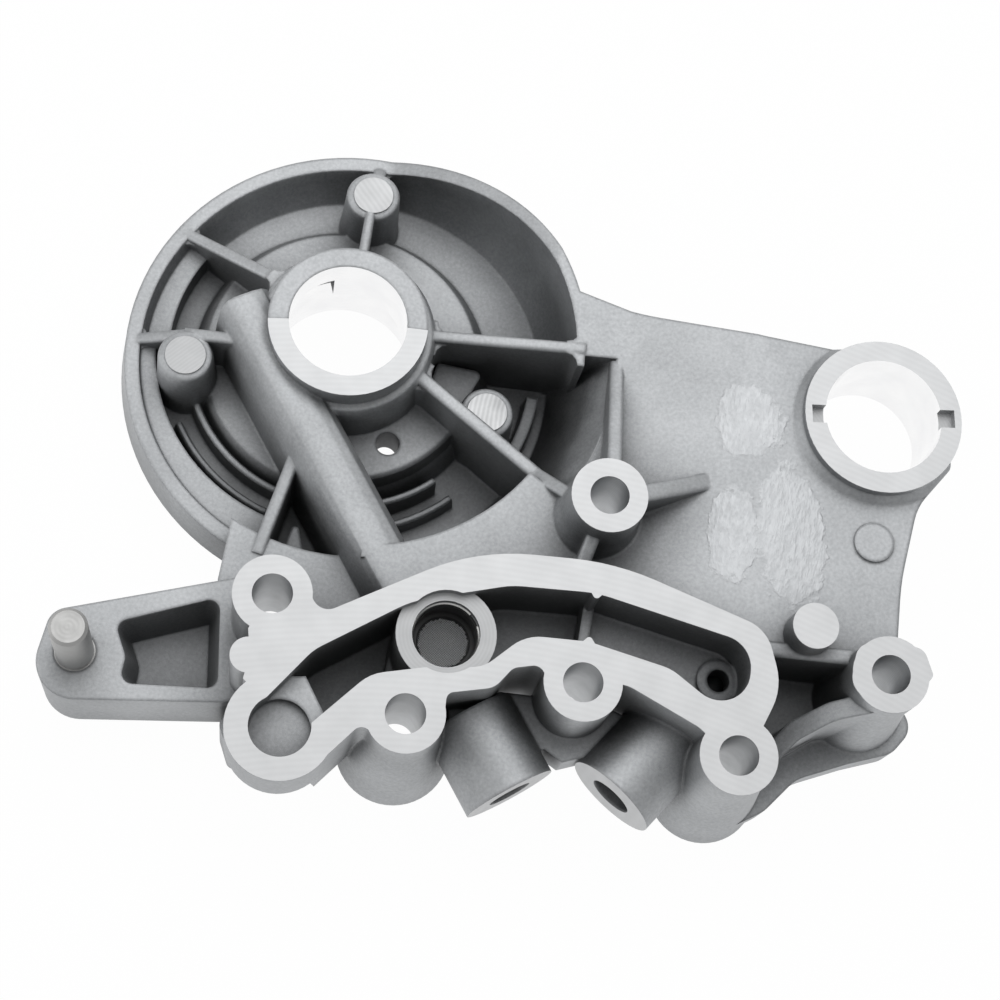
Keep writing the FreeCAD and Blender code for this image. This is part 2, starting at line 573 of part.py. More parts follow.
def gallery_pocket():
    whole = prism(KIDNEY_OUTLINE, GALLERY_FLOOR_Z, ABOVE)
    blind = cylinder(BLIND_BORE, BLIND_BORE_RADIUS, BLIND_BORE_Z, ABOVE)
    ledge = prism([(-8, -92, 0), (7.4, -88.4, 0), (14.2, -97.4, 0), (14, -112, 0), (-8, -112, 0)],
                  BELOW, GALLERY_LEDGE_Z)
    left = prism([(-8, -112, 0), (-8, -60, 0), (24.5, -60, 0), (24.5, -112, 0)],
                 GALLERY_LEFT_FLOOR_Z, GALLERY_FLOOR_Z + 1.0)
    left = left.common(prism(KIDNEY_OUTLINE, GALLERY_LEFT_FLOOR_Z, ABOVE))
    right = prism([(CROSS_WALL_X, -110, 0), (CROSS_WALL_X, -40, 0), (130, -40, 0), (130, -110, 0)],
                  BELOW, GALLERY_RIGHT_FLOOR_Z)
    half = CROSS_WALL_THICKNESS / 2
    wall = prism([(CROSS_WALL_X - half, -110, 0), (CROSS_WALL_X - half, -40, 0),
                  (CROSS_WALL_X + half, -40, 0), (CROSS_WALL_X + half, -110, 0)],
                 BELOW, CROSS_WALL_TOP_Z)
    feed = channel_point(PORT_RIGHT, RIGHT_ALONG, 35.0)
    ring = cylinder(feed, RIGHT_FEED_RING, BELOW, GALLERY_RIGHT_FLOOR_Z + 1.2)
    teeth = []
    for y, lean in ((-58.0, -1.0), (-69.6, 1.0)):
        teeth.append(prism([(CROSS_WALL_X - 2.2, y - lean, 0), (CROSS_WALL_X + 2.2, y - lean, 0),
                            (CROSS_WALL_X, y + lean * 1.7, 0.8)], BELOW, ABOVE))
    pedestal = cylinder((STRAINER_X, STRAINER_Y), PEDESTAL_RADIUS, BELOW, POCKET_SHELF_Z)
    pocket = joined([whole, left])
    pocket = less(pocket, [ledge, right, wall, ring, pedestal] + teeth)
    recess = cylinder((STRAINER_X, STRAINER_Y), POCKET_RADIUS, POCKET_SHELF_Z, ABOVE)
    return [pocket, blind, recess]


def port_boss(port, along):
    face = (port[0], port[1], DRILLING_Z)
    back = channel_point(port, along, PORT_BOSS_LENGTH)
    return rod(face, back, PORT_BOSS_RADIUS)


def port_web():
    # The web that fills the valleys between the two port bosses and the bolt columns beside them
    return prism([
        (40.0, -86.0, 0), (43.4, -100.2, 2.0), (52.0, -98.6, 0), (63.0, -91.0, 0), (67.6, -93.2, 0),
        (73.5, -90.5, 0), (86.0, -91.6, 0), (91.8, -96.0, 2.0), (98.5, -86.0, 0), (74.0, -78.0, 0),
        (51.0, -80.0, 0),
    ], PORT_WEB_LOW_Z, PORT_WEB_TOP_Z)


def right_channel():
    start = channel_point(PORT_RIGHT, RIGHT_ALONG, PORT_BOSS_LENGTH - 4.0)
    end = channel_point(PORT_RIGHT, RIGHT_ALONG, RIGHT_REACH)
    return rod(start, end, CHANNEL_RADIUS)


def bolt_columns():
    columns = []
    for name, place in BOLTS.items():
        columns.append(cylinder(place, PAD_RADIUS, BOLT_SEAT_Z, HEAD_FACE_Z))
    for name, spread, low, high in (
        ("lower", 4.6, -24.0, 4.0), ("right", 4.2, -26.0, 4.0), ("ear", 4.0, -25.0, 2.0),
        ("upper", 2.6, PLATE_LOW_Z - 2.0, PLATE_LOW_Z + 5.0),
    ):
        columns.append(cone(BOLTS[name], PAD_RADIUS + spread, PAD_RADIUS, low, high))
    return columns


def ear():
    # The ear of the bolt at the right end, with a point at its outer side
    outline = [
        (127.0, -57.0, 4), (142.0, -55.4, 3), (145.0, -61.4, 1.5), (140.0, -69.4, 0), (135.3, -71.6, 6),
        (126.4, -68.0, 5),
    ]
    return prism(outline, -6.0, HEAD_FACE_Z)


def lower_skirt():
    # A curved wall from the right bolt to the ear, above a flange that flares out behind it
    wall = prism([
        (104, -84, 0), (112, -82, 0), (116.5, -75, 6), (124, -69.8, 10), (133, -66.5, 0),
        (137, -66, 0), (137, -70.5, 0), (126, -73.8, 12), (119, -79, 8), (113, -88, 0),
        (106, -92, 0),
    ], -24.0, 12.0)
    slope = [Vector(90, -120, -6.0), Vector(112, -120, -2.0), Vector(134, -120, 11.0)]
    slope += [Vector(150, -120, 12.5), Vector(150, -120, 30), Vector(90, -120, 30)]
    wall = wall.cut(Part.Face(Part.makePolygon(slope + slope[:1])).extrude(Vector(0, 90, 0)))
    flange = prism([
        (103, -88, 0), (108, -99.4, 4), (117.5, -92.5, 8), (124, -83.6, 10), (136, -77.4, 12),
        (146, -73, 6), (150.4, -66, 5), (146.5, -61, 3), (135, -61, 0), (125, -69, 0), (112, -80, 0),
    ], -25.0, -17.0)
    pocket_floor = prism([(106, -60, 0), (133, -59, 0), (133, -68, 0), (112, -86, 0), (104, -86, 0)],
                         -17.0, -13.0)
    upper_wall = web((106.0, -60.4), (132.0, -58.8), 3.6, -17.0, 5.5, 9.0)
    return [wall, flange, pocket_floor, upper_wall]


def head_boss_ribs():
    # Ribs that brace the single upper bolt boss against the plate and the gallery
    x, y = BOLTS["upper"]
    low = PLATE_LOW_Z - 2.0
    top = HEAD_FACE_Z - 3.0
    return [
        web((x + 0.6, y + 6), (x - 1.4, y + 40), 3.4, low, top, PLATE_LOW_Z - 0.4),
        web((x + 6, y + 2.4), (x + 25, y + 13), 4.2, low, top, PLATE_TOP_Z - 2.0),
        web((x - 6, y + 2.0), (50.0, -26.0), 3.4, DRUM_FLOOR_Z + 12, PLATE_LOW_Z + 5, PLATE_LOW_Z - 2),
        web((x - 1, y - 6), (x - 3.4, y - 19), 3.2, low, top - 2.0, PLATE_LOW_Z + 8.0),
    ]


def body():
    # The lower left body between the drum, the gallery and the arm
    outline = [
        (-17.2, -40, 0), (-17.2, -66.4, 2), (-8, -68, 0), (-6, -86, 0), (-9.8, -98, 2),
        (-6.4, -104.4, 2), (2, -104, 0), (12, -90, 0), (24, -68, 0), (18, -44, 0), (0, -44, 0),
    ]
    block = prism(outline, ARM_LOW_Z, BODY_TOP_Z)
    hollow = prism([(-13.4, -62.5, 2), (-12.0, -66, 2), (-2, -72, 2), (-1, -96, 2), (8, -90, 2),
                    (19, -68, 2), (14, -62.5, 2)], BELOW, BODY_TOP_Z - 4.0)
    return block.cut(hollow)


def arm():
    return prism(ARM_OUTLINE, ARM_LOW_Z, ARM_TOP_Z)


def arm_pocket():
    lower = [(x, y, radius) for x, y, radius in ARM_POCKET_OUTLINE]
    top = Part.Face(rounded(lower, ARM_TOP_Z)).OuterWire
    floor_z = ARM_TOP_Z - ARM_POCKET_DEPTH
    floor = Part.Face(rounded(lower, floor_z)).makeOffset2D(-ARM_POCKET_DRAFT).OuterWire
    return Part.makeLoft([floor, top], True)


def casting():
    solids = [drum_cup(), drum_slope_shell()] + plate()
    solids += gallery() + [body(), arm(), ear(), exhaust_bearing()]
    mass = joined(solids)
    mass = less(mass, [drum_cavity(), drum_slope_cavity(), arm_pocket()])
    added = [hub()] + [boss(angle) for angle in BOSS_ANGLES] + drum_ribs() + floor_ridges()
    added += [channel_rib(), pocket_step(), port_web()] + bolt_columns() + lower_skirt() + head_boss_ribs()
    added += [port_boss(PORT_LEFT, LEFT_ALONG), port_boss(PORT_RIGHT, RIGHT_ALONG), right_channel()]
    added += [cylinder(STOP_BOSS, STOP_BOSS_RADIUS, -6.0, HEAD_FACE_Z)]
    added += [cylinder(EJECTOR_MARK, EJECTOR_RADIUS, 0.0, PLATE_TOP_Z + EJECTOR_HEIGHT)]
    mass = joined([mass] + added)
    mass = less(mass, gallery_pocket())
    mass = less(mass, [back_recess()])
    holes = [cylinder((0, 0), BORE_RADIUS, BELOW, ABOVE), cylinder(EXHAUST, BORE_RADIUS, BELOW, ABOVE)]
    holes += [cylinder((0, 0), HUB_RELIEF_RADIUS, BELOW, INTAKE_BORE_LOW_Z)]
    for name, place in BOLTS.items():
        holes.append(cylinder(place, BOLT_HOLE_RADIUS, BELOW, ABOVE))
        holes.append(cylinder(place, BOLT_SEAT_RADIUS, BELOW, BOLT_SEAT_Z))
    for angle in BOSS_ANGLES:
        place = at_angle(BOSS_CIRCLE_RADIUS, angle)
        holes.append(cylinder(place, TAPPED_CORE_RADIUS, BELOW, DRUM_BACK_Z + TAPPED_DEPTH))
    holes.append(cylinder(DRAIN_HOLE, DRAIN_RADIUS, BELOW, ABOVE))
    holes.append(cylinder((PIN_X, PIN_Y), PIN_ROOT_RADIUS, ARM_TOP_Z - PIN_SEAT_DEPTH, ABOVE))
    return less(mass, holes + strainer_bore() + drillings() + bearing_details())


def back_recess():
    # The ring-shaped recess at the back of the drum, which keeps the wall behind the hub even
    high = DRUM_BACK_Z + BACK_RECESS_DEPTH
    profile = [(BACK_RECESS_INNER_RADIUS, BELOW), (BACK_RECESS_RADIUS, BELOW)]
    profile += [(BACK_RECESS_RADIUS, DRUM_BACK_Z), (BACK_RECESS_RADIUS - 1.0, high)]
    profile += [(BACK_RECESS_INNER_RADIUS + 1.0, high), (BACK_RECESS_INNER_RADIUS, DRUM_BACK_Z)]
    return turned(profile)


def strainer_bore():
    # The bore of the strainer, the groove of its ring and the way down to the drilling
    place = (STRAINER_X, STRAINER_Y)
    groove_low = STRAINER_TOP_Z
    groove_high = STRAINER_TOP_Z + 2 * SNAP_RING_WIRE
    return [
        cylinder(place, STRAINER_RADIUS, STRAINER_LOW_Z, ABOVE),
        cylinder(place, SNAP_RING_RADIUS + SNAP_RING_WIRE, groove_low, groove_high),
        cylinder(place, STRAINER_RADIUS - STRAINER_WALL, DRILLING_Z, ABOVE),
    ]


def drillings():
    tools = []
    for port, along, reach in (
        (PORT_LEFT, LEFT_ALONG, LEFT_REACH), (PORT_RIGHT, RIGHT_ALONG, RIGHT_REACH),
    ):
        outside = channel_point(port, along, -5.0)
        shoulder = channel_point(port, along, PORT_DEPTH)
        end = channel_point(port, along, reach + 2.0)
        tools.append(rod(outside, shoulder, PORT_RADIUS))
        tools.append(rod(outside, end, DRILLING_RADIUS))
    feed = channel_point(PORT_RIGHT, RIGHT_ALONG, 35.0)
    tools.append(cylinder(feed, RIGHT_FEED_RADIUS, DRILLING_Z, HEAD_FACE_Z - 2.0))
    return tools


def bearing_details():
    # The raw upper half of the intake ring, its oil groove, and the notches of the exhaust ring
    raw = [(BORE_RADIUS - 1.0, INTAKE_FACE_Z - RAW_FACE_DROP), (RING_RADIUS + 2.0, ABOVE),
           (BORE_RADIUS - 1.0, ABOVE)]
    raw.insert(1, (RING_RADIUS + 2.0, INTAKE_FACE_Z - RAW_FACE_DROP))
    tools = [turned(raw, (0.0, 0.0), RAW_FACE_START, RAW_FACE_SWEEP)]
    low = INTAKE_BORE_LOW_Z
    groove = [(BORE_RADIUS - 1.0, low), (BORE_RADIUS + BEARING_GROOVE_DEPTH, low)]
    groove += [(BORE_RADIUS + BEARING_GROOVE_DEPTH, low + BEARING_GROOVE_WIDTH)]
    groove += [(BORE_RADIUS - 1.0, low + BEARING_GROOVE_WIDTH)]
    tools.append(turned(groove, (0.0, 0.0), BEARING_GROOVE_START, BEARING_GROOVE_SWEEP))
    reach = BORE_RADIUS + NOTCH_DEPTH
    for angle in (NOTCH_TURN, NOTCH_TURN + 180.0):
        notch = Part.makeBox(reach, NOTCH_WIDTH, 4.0,
                             Vector(0, -NOTCH_WIDTH / 2, EXHAUST_FACE_Z - 2.4))
        notch.rotate(Vector(0, 0, 0), Vector(0, 0, 1), angle)
        notch.translate(Vector(EXHAUST[0], EXHAUST[1], 0))
        tools.append(notch)
    return tools


def rail_pivot_pin():
    # The pressed root is a little thicker, and a narrow groove parts it from the running length
    low = ARM_TOP_Z - PIN_SEAT_DEPTH
    high = ARM_TOP_Z + PIN_LENGTH
    groove_high = ARM_TOP_Z + PIN_GROOVE_WIDTH
    profile = [(0, low), (PIN_ROOT_RADIUS - PIN_CHAMFER, low), (PIN_ROOT_RADIUS, low + PIN_CHAMFER)]
    profile += [(PIN_ROOT_RADIUS, ARM_TOP_Z), (PIN_GROOVE_RADIUS, ARM_TOP_Z)]
    profile += [(PIN_GROOVE_RADIUS, groove_high), (PIN_RADIUS, groove_high)]
    profile += [(PIN_RADIUS, high - PIN_CHAMFER), (PIN_RADIUS - PIN_CHAMFER, high), (0, high)]
    return turned(profile, (PIN_X, PIN_Y))


def strainer_cup():
    # A sleeve with a thin upper wall, and inside it the seat and the lip that hold the mesh
    inner = STRAINER_RADIUS - STRAINER_WALL
    rim = STRAINER_RADIUS - STRAINER_RIM_WALL
    seat = STRAINER_STEP_Z - MESH_RECESS - MESH_THICKNESS
    profile = [(inner - STRAINER_LIP, STRAINER_LOW_Z), (STRAINER_RADIUS, STRAINER_LOW_Z)]
    profile += [(STRAINER_RADIUS, STRAINER_TOP_Z), (rim + 0.2, STRAINER_TOP_Z)]
    profile += [(rim, STRAINER_TOP_Z - 0.3), (rim, STRAINER_STEP_Z), (inner + 0.3, STRAINER_STEP_Z)]
    profile += [(inner, STRAINER_STEP_Z - 0.3), (inner, seat), (inner - STRAINER_LIP, seat)]
    return turned(profile, (STRAINER_X, STRAINER_Y))


def strainer_mesh():
    high = STRAINER_STEP_Z - MESH_RECESS
    inner = STRAINER_RADIUS - STRAINER_WALL
    return cylinder((STRAINER_X, STRAINER_Y), inner, high - MESH_THICKNESS, high)


def strainer_retaining_ring():
    # An open ring of spring wire, whose section has eight sides
    middle = (SNAP_RING_RADIUS, STRAINER_TOP_Z + SNAP_RING_WIRE)
    corner = SNAP_RING_WIRE / math.cos(math.radians(22.5))
    section = [at_angle(corner, 22.5 + 45.0 * side, middle) for side in range(8)]
    start = SNAP_RING_GAP_TURN + SNAP_RING_GAP_ANGLE / 2.0
    return turned(section, (STRAINER_X, STRAINER_Y), start, 360.0 - SNAP_RING_GAP_ANGLE)


def feed_ball(port, along):
    # The ball rests on the edge where its port steps down to the drilling
    radius = PORT_RADIUS - BALL_CLEARANCE
    above_edge = math.sqrt(radius ** 2 - DRILLING_RADIUS ** 2)
    return ball(radius, channel_point(port, along, PORT_DEPTH - above_edge))


def write(name, shape):
    shape.exportStep("parts/" + name + ".step")
    print(name, "valid", shape.isValid(), "solids", len(shape.Solids), "volume", round(shape.Volume))


os.makedirs("parts", exist_ok=True)
write("bridge_casting", casting())
write("rail_pivot_pin", rail_pivot_pin())
write("strainer_cup", strainer_cup())
write("strainer_mesh", strainer_mesh())
write("strainer_retaining_ring", strainer_retaining_ring())
write("intake_feed_ball", feed_ball(PORT_LEFT, LEFT_ALONG))
write("exhaust_feed_ball", feed_ball(PORT_RIGHT, RIGHT_ALONG))
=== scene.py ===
# %% [markdown]
# # Finishing a camshaft bearing bridge
# The real object is a pressure die casting of aluminium. After casting, a mill, a boring bar and a
# drill touch only the places that have to be exact, so one part shows two quite different metals:
# a matt grey cast skin, and bright flats and bores. Almost the whole likeness lies in that contrast.
# The solids come from the CAD model and keep their places. This lesson gives them their finishes,
# weaves the strainer's wire mesh, and sets up the camera and the light.

# %% Load the CAD model as a fixed frame
import json
import math
import bpy
from mathutils import Matrix, Vector

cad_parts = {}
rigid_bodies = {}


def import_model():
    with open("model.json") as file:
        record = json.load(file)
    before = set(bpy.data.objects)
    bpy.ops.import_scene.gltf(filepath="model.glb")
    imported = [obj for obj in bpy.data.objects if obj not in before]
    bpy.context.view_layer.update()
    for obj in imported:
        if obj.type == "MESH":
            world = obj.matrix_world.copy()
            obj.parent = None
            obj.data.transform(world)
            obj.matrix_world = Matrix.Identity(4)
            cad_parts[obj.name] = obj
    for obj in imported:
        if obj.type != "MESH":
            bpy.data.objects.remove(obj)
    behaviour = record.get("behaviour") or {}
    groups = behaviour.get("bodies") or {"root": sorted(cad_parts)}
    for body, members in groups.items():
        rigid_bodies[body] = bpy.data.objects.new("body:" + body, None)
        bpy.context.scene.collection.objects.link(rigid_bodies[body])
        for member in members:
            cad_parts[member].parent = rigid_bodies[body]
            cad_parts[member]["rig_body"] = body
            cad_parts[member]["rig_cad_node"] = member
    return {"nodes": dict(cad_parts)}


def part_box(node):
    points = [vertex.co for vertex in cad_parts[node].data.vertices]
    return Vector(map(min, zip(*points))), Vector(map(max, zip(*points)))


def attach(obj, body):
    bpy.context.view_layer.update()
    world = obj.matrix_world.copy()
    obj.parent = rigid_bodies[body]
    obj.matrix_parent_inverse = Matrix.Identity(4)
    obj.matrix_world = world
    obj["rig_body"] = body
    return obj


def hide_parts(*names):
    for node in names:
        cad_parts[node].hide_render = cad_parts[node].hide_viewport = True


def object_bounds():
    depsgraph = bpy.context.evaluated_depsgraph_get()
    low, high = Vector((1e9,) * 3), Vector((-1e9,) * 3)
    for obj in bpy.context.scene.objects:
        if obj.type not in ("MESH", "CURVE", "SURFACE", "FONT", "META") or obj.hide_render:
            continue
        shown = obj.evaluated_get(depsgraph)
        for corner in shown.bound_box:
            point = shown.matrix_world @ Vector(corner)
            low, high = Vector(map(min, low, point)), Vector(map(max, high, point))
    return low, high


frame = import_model()
cad_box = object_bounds()
nodes = frame["nodes"]
print("CAD nodes:", ", ".join(sorted(nodes)))

# %% [markdown]
# Everything in the scene is in metres, but a machinist thinks in millimetres, so one factor turns
# the sizes below to metres. Colours are written as the hex values that a colour picker gives. Those
# are sRGB numbers, and the shader works with linear light, so one function changes one to the other.

# %% Units and colours
MM = 0.001


def linear(hex_colour):
    channels = [int(hex_colour[index:index + 2], 16) / 255 for index in (1, 3, 5)]
    return [c / 12.92 if c <= 0.04045 else ((c + 0.055) / 1.055) ** 2.4 for c in channels] + [1.0]


print("mid grey in linear light:", [round(c, 3) for c in linear("#808080")])

# %% [markdown]
# A material is a small tree of nodes. Each tree below is built by one function that adds a node,
# sets its values and joins its inputs, which keeps the recipe of a finish readable from top to
# bottom: coordinates first, then the patterns, then the colour, the roughness and the bump.

# %% One function that adds a node
def add_node(tree, kind, settings=None, links=None):
    node = tree.nodes.new(kind)
    for key, value in (settings or {}).items():
        if key == "stops":
            ramp = node.color_ramp
            while len(ramp.elements) < len(value):
                ramp.elements.new(0.5)
            for element, (place, colour) in zip(ramp.elements, value):
                element.position = place
                element.color = colour
        elif isinstance(key, int) or key in node.inputs:
            node.inputs[key].default_value = value
        else:
            setattr(node, key, value)
    for key, source in (links or {}).items():
        tree.links.new(source, node.inputs[key])
    return node


def new_material(name):
    material = bpy.data.materials.new(name)
    material.use_nodes = True
    material.node_tree.nodes.clear()
    return material, material.node_tree


def grey(value):
    return (value, value, value, 1.0)


print("a grey that reflects half the light:", grey(0.5))

# %% [markdown]
# ## Patches ground by hand
# On three places of the flat plate a hand grinder has taken off the cast skin, so bare metal shines
# there in ragged spots. They could be painted on a picture, but a formula stays sharp at any size.
# Each patch is an ellipse with its centre, its half width and half height, and its turn. A Mapping
# node turns the ellipse to a ball of radius 1, so the length of the mapped point says how far out
# it is, a noise makes the edge ragged, and the ball is only as deep as the top of the plate needs.

# %% Where the patches are
PLATE_TOP_Z = 5.0
PATCH_HALF_DEPTH = 2.0
GROUND_PATCHES = [
    ((93.6, -5.9), (12.6, 9.4), -8.0),
    ((110.6, -32.2), (8.4, 17.6), 12.0),
    ((96.4, -34.4), (6.8, 11.8), 8.0),
]
RAGGED_BIT_SIZE = 2.6 * MM
RAGGEDNESS = 0.7
# The noise adds 0.35 on average, so a patch ends near a sum of 1.3 and not of 1
PATCH_ENDS_BETWEEN = (1.27, 1.36)


def ground_patches(tree, place):
    # A mask that is 1 on a patch and 0 beside it, from the way to the middle of the nearest patch
    nearest = None
    for (x, y), (half_width, half_height), turn in GROUND_PATCHES:
        inside = add_node(tree, "ShaderNodeMapping",
                          {"vector_type": "TEXTURE", "Location": (x * MM, y * MM, PLATE_TOP_Z * MM),
                           "Rotation": (0, 0, math.radians(turn)),
                           "Scale": (half_width * MM, half_height * MM, PATCH_HALF_DEPTH * MM)},
                          {"Vector": place})
        away = add_node(tree, "ShaderNodeVectorMath", {"operation": "LENGTH"}, {0: inside.outputs[0]})
        if nearest is None:
            nearest = away.outputs["Value"]
        else:
            nearest = add_node(tree, "ShaderNodeMath", {"operation": "MINIMUM"},
                               {0: nearest, 1: away.outputs["Value"]}).outputs[0]
    ragged = add_node(tree, "ShaderNodeTexNoise", {"Scale": 1 / RAGGED_BIT_SIZE, "Detail": 3.0},
                      {"Vector": place})
    edge = add_node(tree, "ShaderNodeMath", {"operation": "MULTIPLY_ADD", 1: RAGGEDNESS},
                    {0: ragged.outputs["Fac"], 2: nearest})
    inner, outer = PATCH_ENDS_BETWEEN
    return add_node(tree, "ShaderNodeMapRange",
                    {"From Min": inner, "From Max": outer, "To Min": 1.0, "To Max": 0.0},
                    {"Value": edge.outputs[0]}).outputs["Result"]


print("hand-ground patches:", len(GROUND_PATCHES))

# %% Scratches of the grinder
SCRATCH_SPACING = 0.9 * MM
SCRATCH_ANGLE = math.radians(14)
SCRATCH_STRETCH = (1.0, 0.4, 1.0)


def scratched_metal(tree, place):
    # How bare the metal is: 0 beside the patches, and on them between 0.4 and 1 in long scratches
    patches = ground_patches(tree, place)
    stretched = add_node(tree, "ShaderNodeMapping",
                         {"Rotation": (0, 0, SCRATCH_ANGLE), "Scale": SCRATCH_STRETCH},
                         {"Vector": place})
    scratches = add_node(tree, "ShaderNodeTexNoise", {"Scale": 1 / SCRATCH_SPACING, "Detail": 2.0},
                         {"Vector": stretched.outputs[0]})
    shine = add_node(tree, "ShaderNodeMapRange",
                     {"From Min": 0.35, "From Max": 0.65, "To Min": 0.4, "To Max": 1.0},
                     {"Value": scratches.outputs["Fac"]})
    return add_node(tree, "ShaderNodeMath", {"operation": "MULTIPLY"},
                    {0: shine.outputs[0], 1: patches}).outputs[0]


print("scratches are about", round(SCRATCH_SPACING / MM, 1), "mm apart")

# %% [markdown]
# ## Die-cast aluminium
# Molten alloy freezes against a steel die, so the skin is matt and faintly mottled, with a fine
# grain from the die spray. Three noises of different sizes give grain, mottle and cloud. The corners
# of a die are rounded too, because sharp ones would crack, and the Bevel node rounds the light on
# them without touching the mesh. The pockets get painted shade, down to nearly black: the Ambient
# Occlusion node finds those pockets from the shape alone and darkens the skin's colour there, so
# they stay dark from every side.

# %% Colour of the cast skin, and the painted shade of its pockets
GRAIN_SIZE = 0.8 * MM
MOTTLE_SIZE = 5.0 * MM
CLOUD_SIZE = 26.0 * MM
POCKET_REACH = 24.0 * MM


def skin_colour(tree, grain, mottle, cloud):
    # The sum of the three noises runs from about 0.95 to 1.55, and a ramp turns it to two greys
    tone = add_node(tree, "ShaderNodeMath", {"operation": "MULTIPLY_ADD", 1: 0.5},
                    {0: mottle, 2: cloud})
    tone = add_node(tree, "ShaderNodeMath", {"operation": "ADD"}, {0: grain, 1: tone.outputs[0]})
    tone = add_node(tree, "ShaderNodeMapRange", {"From Min": 0.95, "From Max": 1.55},
                    {"Value": tone.outputs[0]})
    return add_node(tree, "ShaderNodeValToRGB",
                    {"stops": [(0.0, linear("#a4a6a8")), (1.0, linear("#bdbfc1"))]},
                    {"Fac": tone.outputs[0]}).outputs["Color"]


def painted_pocket_shade(tree):
    # Painted shade: a factor on the skin's colour, 0.3 deep inside a pocket and 1 on open faces
    hollow = add_node(tree, "ShaderNodeAmbientOcclusion", {"samples": 6, "Distance": POCKET_REACH})
    return add_node(tree, "ShaderNodeValToRGB",
                    {"stops": [(0.08, grey(0.3)), (0.42, grey(0.5)), (0.78, grey(1.0))]},
                    {"Fac": hollow.outputs["AO"]}).outputs["Color"]


print("grain, mottle and cloud in metres:", GRAIN_SIZE, MOTTLE_SIZE, CLOUD_SIZE)

# %% The whole cast finish
CORNER_RADIUS = 1.2 * MM
SKIN_BUMP_HEIGHT = 0.05 * MM
SCRATCH_SHARE = 5.0


def cast_aluminium():
    material, tree = new_material("die_cast_aluminium")
    place = add_node(tree, "ShaderNodeTexCoord").outputs["Object"]
    grain = add_node(tree, "ShaderNodeTexNoise",
                     {"Scale": 1 / GRAIN_SIZE, "Detail": 3.0, "Roughness": 0.6},
                     {"Vector": place}).outputs["Fac"]
    mottle = add_node(tree, "ShaderNodeTexNoise",
                      {"Scale": 1 / MOTTLE_SIZE, "Detail": 4.0, "Roughness": 0.62},
                      {"Vector": place}).outputs["Fac"]
    cloud = add_node(tree, "ShaderNodeTexNoise", {"Scale": 1 / CLOUD_SIZE, "Detail": 2.0},
                     {"Vector": place}).outputs["Fac"]
    bare = scratched_metal(tree, place)
    skin = add_node(tree, "ShaderNodeMix", {"data_type": "RGBA", 7: linear("#c3c5c7")},
                    {0: bare, 6: skin_colour(tree, grain, mottle, cloud)})
    # Painted shade: the skin's colour is multiplied by the darkening that the Ambient Occlusion finds in
    # the pockets
    colour = add_node(tree, "ShaderNodeMix", {"data_type": "RGBA", "blend_type": "MULTIPLY", 0: 1.0},
                      {6: skin.outputs[2], 7: painted_pocket_shade(tree)})
    rough_skin = add_node(tree, "ShaderNodeMath", {"operation": "MULTIPLY_ADD", 1: 0.35},
                          {0: mottle, 2: grain})
    scratch_height = add_node(tree, "ShaderNodeMath", {"operation": "MULTIPLY", 1: SCRATCH_SHARE},
                              {0: bare})
    height = add_node(tree, "ShaderNodeMath", {"operation": "ADD"},
                      {0: rough_skin.outputs[0], 1: scratch_height.outputs[0]})
    round_corner = add_node(tree, "ShaderNodeBevel", {"samples": 6, "Radius": CORNER_RADIUS})
    bump = add_node(tree, "ShaderNodeBump", {"Strength": 0.45, "Distance": SKIN_BUMP_HEIGHT},
                    {"Height": height.outputs[0], "Normal": round_corner.outputs["Normal"]})
    roughness = add_node(tree, "ShaderNodeMapRange",
                         {"From Min": 0.3, "From Max": 0.7, "To Min": 0.57, "To Max": 0.63},
                         {"Value": mottle})
    shader = add_node(tree, "ShaderNodeBsdfPrincipled", {"Metallic": 1.0},
                      {"Base Color": colour.outputs[2], "Roughness": roughness.outputs["Result"],
                       "Normal": bump.outputs["Normal"]})
    add_node(tree, "ShaderNodeOutputMaterial", links={"Surface": shader.outputs[0]})
    return material


cast = cast_aluminium()
print(cast.name, "has", len(cast.node_tree.nodes), "nodes")

# %% [markdown]
# ## Machined aluminium
# A face mill leaves shallow arcs a few tenths of a millimetre apart, all from one wide circle, and
# a boring bar leaves even rings. Both are a Wave texture in rings or bands, which repeats every
# tau / 20 units at a scale of 1. The real marks are finer than a pixel here, so they are drawn at
# several times their true spacing to show at all, and faintly. A low roughness makes the two
# bearing bores shine like mirrors, as fine boring does, and the flats stay satin.
#
# The tops of the three bosses in the drum were each cut in another way: one by a mill that left
# wavy arcs, one on a grinding belt, and one by a spot facer, as round the strainer.

# %% Recipe of a machined finish
WAVE_PERIOD = math.tau / 20
MARK_SHARE = 0.2
STAIN_SIZE = 7.0 * MM
MARK_HEIGHT = 0.02 * MM


